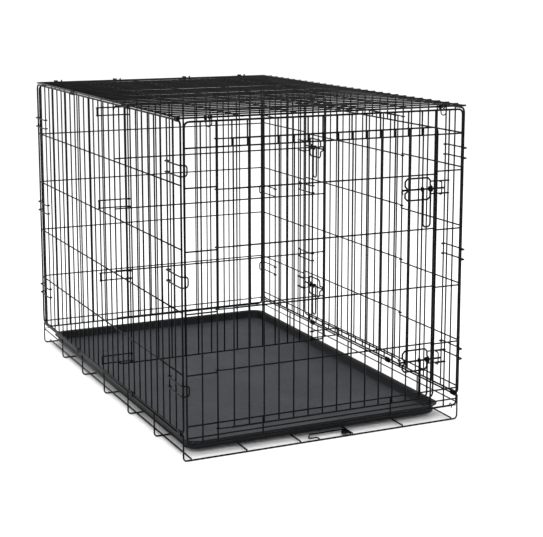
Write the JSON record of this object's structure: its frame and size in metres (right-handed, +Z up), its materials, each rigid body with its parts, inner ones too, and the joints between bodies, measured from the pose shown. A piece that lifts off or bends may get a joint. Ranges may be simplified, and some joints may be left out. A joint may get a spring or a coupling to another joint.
{
  "type": "wire dog crate",
  "caption": "Folding wire pet crate with front and side doors on slide bolts, a lift-up top, hooked corner joints, a wire divider and a slide-out floor pan.",
  "frame": {"origin": "middle of the footprint, on the plane the crate stands on", "axes": "+Z up, -Y out of the front door's panel, +X out of the side door's panel"},
  "size_m": [0.7962, 1.242, 0.8286],
  "materials": {
    "wire": "black e-coat over steel wire, satin",
    "hinge_clips": "black crimped sheet metal, satin",
    "pan_plastic": "charcoal plastic with a pebbled texture"
  },
  "bodies": {
    "shell": {"base_grid": "wire", "left_panel": "wire", "right_panel": "wire", "divider_panel": "wire", "clip_top_left_1": "hinge_clips", "clip_top_left_2": "hinge_clips", "clip_top_left_3": "hinge_clips", "clip_bottom_left_1": "hinge_clips", "clip_bottom_left_2": "hinge_clips", "clip_bottom_left_3": "hinge_clips", "clip_bottom_right_1": "hinge_clips", "clip_bottom_right_2": "hinge_clips", "clip_bottom_right_3": "hinge_clips"},
    "pan": {"pan": "pan_plastic"},
    "front_panel": {"front_panel": "wire"},
    "front_door": {"front_door": "wire"},
    "back_panel": {"back_panel": "wire"},
    "side_door": {"side_door": "wire"},
    "top_panel": {"top_panel": "wire", "front_top_hook_left": "wire", "front_top_hook_right": "wire", "back_top_hook_1": "wire", "back_top_hook_2": "wire", "back_top_hook_3": "wire", "back_top_hook_4": "wire"},
    "pan_stop": {"pan_stop": "wire"},
    "front_bolt_upper": {"front_bolt_upper": "wire"},
    "front_handle_upper": {"front_handle_upper": "wire"},
    "front_bolt_lower": {"front_bolt_lower": "wire"},
    "front_handle_lower": {"front_handle_lower": "wire"},
    "side_bolt_upper": {"side_bolt_upper": "wire"},
    "side_handle_upper": {"side_handle_upper": "wire"},
    "side_bolt_lower": {"side_bolt_lower": "wire"},
    "side_handle_lower": {"side_handle_lower": "wire"},
    "hook_front_left_1": {"hook_front_left_1": "wire"},
    "hook_front_left_2": {"hook_front_left_2": "wire"},
    "hook_front_left_3": {"hook_front_left_3": "wire"},
    "hook_front_right_1": {"hook_front_right_1": "wire"},
    "hook_front_right_2": {"hook_front_right_2": "wire"},
    "hook_front_right_3": {"hook_front_right_3": "wire"},
    "hook_back_left_1": {"hook_back_left_1": "wire"},
    "hook_back_left_2": {"hook_back_left_2": "wire"},
    "hook_back_left_3": {"hook_back_left_3": "wire"},
    "hook_back_right_1": {"hook_back_right_1": "wire"},
    "hook_back_right_2": {"hook_back_right_2": "wire"},
    "hook_back_right_3": {"hook_back_right_3": "wire"},
    "divider_hook_left_1": {"divider_hook_left_1": "wire"},
    "divider_hook_left_2": {"divider_hook_left_2": "wire"},
    "divider_hook_left_3": {"divider_hook_left_3": "wire"},
    "divider_hook_left_4": {"divider_hook_left_4": "wire"},
    "divider_hook_right_1": {"divider_hook_right_1": "wire"},
    "divider_hook_right_2": {"divider_hook_right_2": "wire"},
    "divider_hook_right_3": {"divider_hook_right_3": "wire"},
    "divider_hook_right_4": {"divider_hook_right_4": "wire"}
  },
  "joints": [
    {"name": "front_panel_fold", "type": "hinge", "parent": "shell", "child": "front_panel", "pos_m": [-0.00764, -0.59928, 0.042], "axis": [-1, 0, 0], "range_deg": [0, 48]},
    {"name": "back_panel_fold", "type": "hinge", "parent": "shell", "child": "back_panel", "pos_m": [-0.00764, 0.61432, 0.0495], "axis": [-1, 0, 0], "range_deg": [-45, 0]},
    {"name": "top_panel_lift", "type": "hinge", "parent": "shell", "child": "top_panel", "pos_m": [-0.39064, 0.00751, 0.8235], "axis": [0, -1, 0], "range_deg": [0, 100]},
    {"name": "front_door_swing", "type": "hinge", "parent": "front_panel", "child": "front_door", "pos_m": [-0.30495, -0.60008, 0.4], "axis": [0, 0, 1], "range_deg": [-160, 0]},
    {"name": "side_door_swing", "type": "hinge", "parent": "shell", "child": "side_door", "pos_m": [0.37716, -0.29348, 0.4], "axis": [0, 0, 1], "range_deg": [-160, 0]},
    {"name": "front_bolt_upper_slide", "type": "slide", "parent": "front_door", "child": "front_bolt_upper", "axis": [1, 0, 0], "range_m": [-0.03, 0]},
    {"name": "front_handle_upper_drop", "type": "hinge", "parent": "front_bolt_upper", "child": "front_handle_upper", "pos_m": [0.25568, -0.61489, 0.621], "axis": [-1, 0, 0], "range_deg": [0, 100]},
    {"name": "front_bolt_lower_slide", "type": "slide", "parent": "front_door", "child": "front_bolt_lower", "axis": [1, 0, 0], "range_m": [-0.03, 0]},
    {"name": "front_handle_lower_drop", "type": "hinge", "parent": "front_bolt_lower", "child": "front_handle_lower", "pos_m": [0.25568, -0.61489, 0.18], "axis": [-1, 0, 0], "range_deg": [0, 100]},
    {"name": "side_bolt_upper_slide", "type": "slide", "parent": "side_door", "child": "side_bolt_upper", "axis": [0, 1, 0], "range_m": [-0.03, 0]},
    {"name": "side_handle_upper_drop", "type": "hinge", "parent": "side_bolt_upper", "child": "side_handle_upper", "pos_m": [0.39196, 0.27452, 0.621], "axis": [0, -1, 0], "range_deg": [0, 100]},
    {"name": "side_bolt_lower_slide", "type": "slide", "parent": "side_door", "child": "side_bolt_lower", "axis": [0, 1, 0], "range_m": [-0.03, 0]},
    {"name": "side_handle_lower_drop", "type": "hinge", "parent": "side_bolt_lower", "child": "side_handle_lower", "pos_m": [0.39196, 0.27452, 0.18], "axis": [0, -1, 0], "range_deg": [0, 100]},
    {"name": "hook_front_left_1_swing", "type": "hinge", "parent": "shell", "child": "hook_front_left_1", "pos_m": [-0.39294, -0.50848, 0.703], "axis": [0, 0, -1], "range_deg": [0, 120]},
    {"name": "hook_front_left_2_swing", "type": "hinge", "parent": "shell", "child": "hook_front_left_2", "pos_m": [-0.39294, -0.50848, 0.441], "axis": [0, 0, -1], "range_deg": [0, 120]},
    {"name": "hook_front_left_3_swing", "type": "hinge", "parent": "shell", "child": "hook_front_left_3", "pos_m": [-0.39294, -0.50848, 0.178], "axis": [0, 0, -1], "range_deg": [0, 120]},
    {"name": "hook_front_right_1_swing", "type": "hinge", "parent": "shell", "child": "hook_front_right_1", "pos_m": [0.37766, -0.50848, 0.703], "axis": [0, 0, 1], "range_deg": [0, 120]},
    {"name": "hook_front_right_2_swing", "type": "hinge", "parent": "shell", "child": "hook_front_right_2", "pos_m": [0.37766, -0.50848, 0.441], "axis": [0, 0, 1], "range_deg": [0, 120]},
    {"name": "hook_front_right_3_swing", "type": "hinge", "parent": "shell", "child": "hook_front_right_3", "pos_m": [0.37766, -0.50848, 0.178], "axis": [0, 0, 1], "range_deg": [0, 120]},
    {"name": "hook_back_left_1_swing", "type": "hinge", "parent": "shell", "child": "hook_back_left_1", "pos_m": [-0.39294, 0.52351, 0.703], "axis": [0, 0, 1], "range_deg": [0, 120]},
    {"name": "hook_back_left_2_swing", "type": "hinge", "parent": "shell", "child": "hook_back_left_2", "pos_m": [-0.39294, 0.52351, 0.441], "axis": [0, 0, 1], "range_deg": [0, 120]},
    {"name": "hook_back_left_3_swing", "type": "hinge", "parent": "shell", "child": "hook_back_left_3", "pos_m": [-0.39294, 0.52351, 0.178], "axis": [0, 0, 1], "range_deg": [0, 120]},
    {"name": "hook_back_right_1_swing", "type": "hinge", "parent": "shell", "child": "hook_back_right_1", "pos_m": [0.37766, 0.52351, 0.703], "axis": [0, 0, -1], "range_deg": [0, 120]},
    {"name": "hook_back_right_2_swing", "type": "hinge", "parent": "shell", "child": "hook_back_right_2", "pos_m": [0.37766, 0.52351, 0.441], "axis": [0, 0, -1], "range_deg": [0, 120]},
    {"name": "hook_back_right_3_swing", "type": "hinge", "parent": "shell", "child": "hook_back_right_3", "pos_m": [0.37766, 0.52351, 0.178], "axis": [0, 0, -1], "range_deg": [0, 120]},
    {"name": "divider_hook_left_1_swing", "type": "hinge", "parent": "shell", "child": "divider_hook_left_1", "pos_m": [-0.30932, 0.00881, 0.786], "axis": [0, 0, -1], "range_deg": [0, 100]},
    {"name": "divider_hook_left_2_swing", "type": "hinge", "parent": "shell", "child": "divider_hook_left_2", "pos_m": [-0.30932, 0.00881, 0.5335], "axis": [0, 0, -1], "range_deg": [0, 100]},
    {"name": "divider_hook_left_3_swing", "type": "hinge", "parent": "shell", "child": "divider_hook_left_3", "pos_m": [-0.30932, 0.00881, 0.332], "axis": [0, 0, -1], "range_deg": [0, 100]},
    {"name": "divider_hook_left_4_swing", "type": "hinge", "parent": "shell", "child": "divider_hook_left_4", "pos_m": [-0.30932, 0.00881, 0.096], "axis": [0, 0, -1], "range_deg": [0, 100]},
    {"name": "divider_hook_right_1_swing", "type": "hinge", "parent": "shell", "child": "divider_hook_right_1", "pos_m": [0.25505, 0.00881, 0.786], "axis": [0, 0, 1], "range_deg": [-90, 10]},
    {"name": "divider_hook_right_2_swing", "type": "hinge", "parent": "shell", "child": "divider_hook_right_2", "pos_m": [0.25505, 0.00881, 0.5335], "axis": [0, 0, 1], "range_deg": [-90, 10]},
    {"name": "divider_hook_right_3_swing", "type": "hinge", "parent": "shell", "child": "divider_hook_right_3", "pos_m": [0.25505, 0.00881, 0.332], "axis": [0, 0, 1], "range_deg": [-90, 10]},
    {"name": "divider_hook_right_4_swing", "type": "hinge", "parent": "shell", "child": "divider_hook_right_4", "pos_m": [0.25505, 0.00881, 0.096], "axis": [0, 0, 1], "range_deg": [0, 100]},
    {"name": "pan_slide", "type": "slide", "parent": "shell", "child": "pan", "axis": [0, 1, 0], "range_m": [-1.1, 0]},
    {"name": "pan_stop_lift", "type": "hinge", "parent": "shell", "child": "pan_stop", "pos_m": [0.01436, -0.59249, 0.0025], "axis": [1, 0, 0], "range_deg": [0, 60]}
  ]
}
